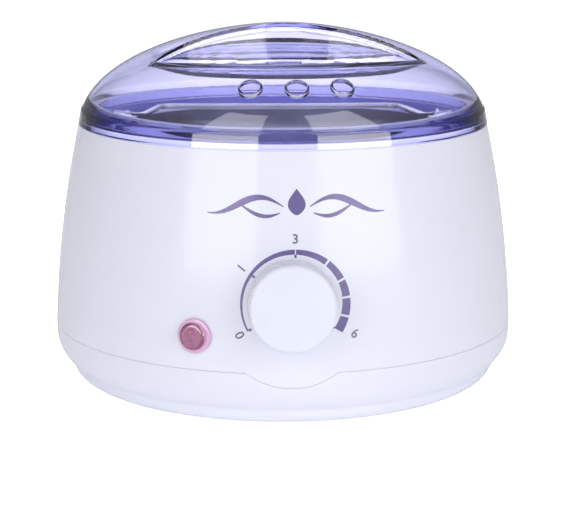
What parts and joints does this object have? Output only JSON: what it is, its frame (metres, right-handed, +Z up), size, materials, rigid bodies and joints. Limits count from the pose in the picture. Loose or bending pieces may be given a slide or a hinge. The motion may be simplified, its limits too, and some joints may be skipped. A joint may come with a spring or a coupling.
{
  "type": "wax warmer pot",
  "caption": "Round electric wax warmer: bowed casing with a heat control, lift-out aluminium pot with a wire bail, and a loose clear lid with finger scoops.",
  "frame": {"origin": "on the table, under the centre of the casing", "axes": "+Z up, -Y towards the knob at the front, +X to the right as seen from the front"},
  "size_m": [0.18, 0.2023, 0.1376],
  "materials": {
    "white_abs": "glossy moulded ABS, faintly cool white",
    "knob_abs": "semi-gloss moulded ABS",
    "violet_clear": "clear violet polycarbonate",
    "magenta_clear": "clear magenta polycarbonate",
    "aluminium": "spun and pressed aluminium",
    "bright_wire": "plated steel wire",
    "zinc_steel": "zinc-plated steel",
    "spring_steel": "hardened strip",
    "brass": "plain brass",
    "rubber_grey": "soft matte rubber",
    "rubber_white": "soft matte rubber",
    "mica": "mica sheet",
    "glass_fibre": "woven glass-fibre blanket",
    "steatite": "unglazed steatite",
    "clear_glass": "clear glass bulb",
    "nylon": "natural nylon",
    "wire_brown": "insulated wire",
    "wire_blue": "insulated wire",
    "wire_white": "insulated wire"
  },
  "bodies": {
    "warmer": {"casing": "white_abs", "base_tray": "white_abs", "rubber_feet": "rubber_grey", "case_screws": "zinc_steel", "heating_well": "aluminium", "well_screws": "zinc_steel", "heater_band": "mica", "heater_clamp": "zinc_steel", "clamp_screw": "zinc_steel", "insulation": "glass_fibre", "heat_shield": "aluminium", "shield_screws": "zinc_steel", "thermostat_frame": "zinc_steel", "thermostat_body": "steatite", "bimetal_strip": "spring_steel", "thermostat_tabs": "brass", "control_screws": "zinc_steel", "lamp_lens": "magenta_clear", "lamp_nut": "spring_steel", "neon_bulb": "clear_glass", "cord_inlet": "rubber_white", "terminal_block": "nylon", "terminal_screws": "zinc_steel", "thermal_fuse": "zinc_steel", "fuse_clip": "spring_steel", "live_wire": "wire_brown", "neutral_wire": "wire_blue", "switched_wire": "wire_white", "lamp_wire": "wire_white"},
    "pot": {"wax_pot": "aluminium", "bail_ears": "aluminium", "ear_rivets": "aluminium"},
    "bail": {"bail": "bright_wire"},
    "lid": {"lid": "violet_clear"},
    "knob": {"knob": "knob_abs", "knob_clip": "spring_steel", "control_shaft": "zinc_steel"}
  },
  "joints": [
    {"name": "knob_turn", "type": "hinge", "parent": "warmer", "child": "knob", "pos_m": [0, -0.08822, 0.0467], "axis": [0, 0.995, -0.1003], "range_deg": [0, 238]},
    {"name": "pot_lift", "type": "slide", "parent": "warmer", "child": "pot", "axis": [0, 0, 1], "range_m": [0, 0.085]},
    {"name": "lid_lift", "type": "slide", "parent": "pot", "child": "lid", "axis": [0, 0, 1], "range_m": [0, 0.1]},
    {"name": "bail_swing", "type": "hinge", "parent": "pot", "child": "bail", "pos_m": [0, 0, 0.1004], "axis": [1, 0, 0], "range_deg": [0, 180]}
  ],
  "couplings": [
    {"joint": "bail_swing", "follows": "lid_lift", "rad_per_m": 31.413}
  ]
}
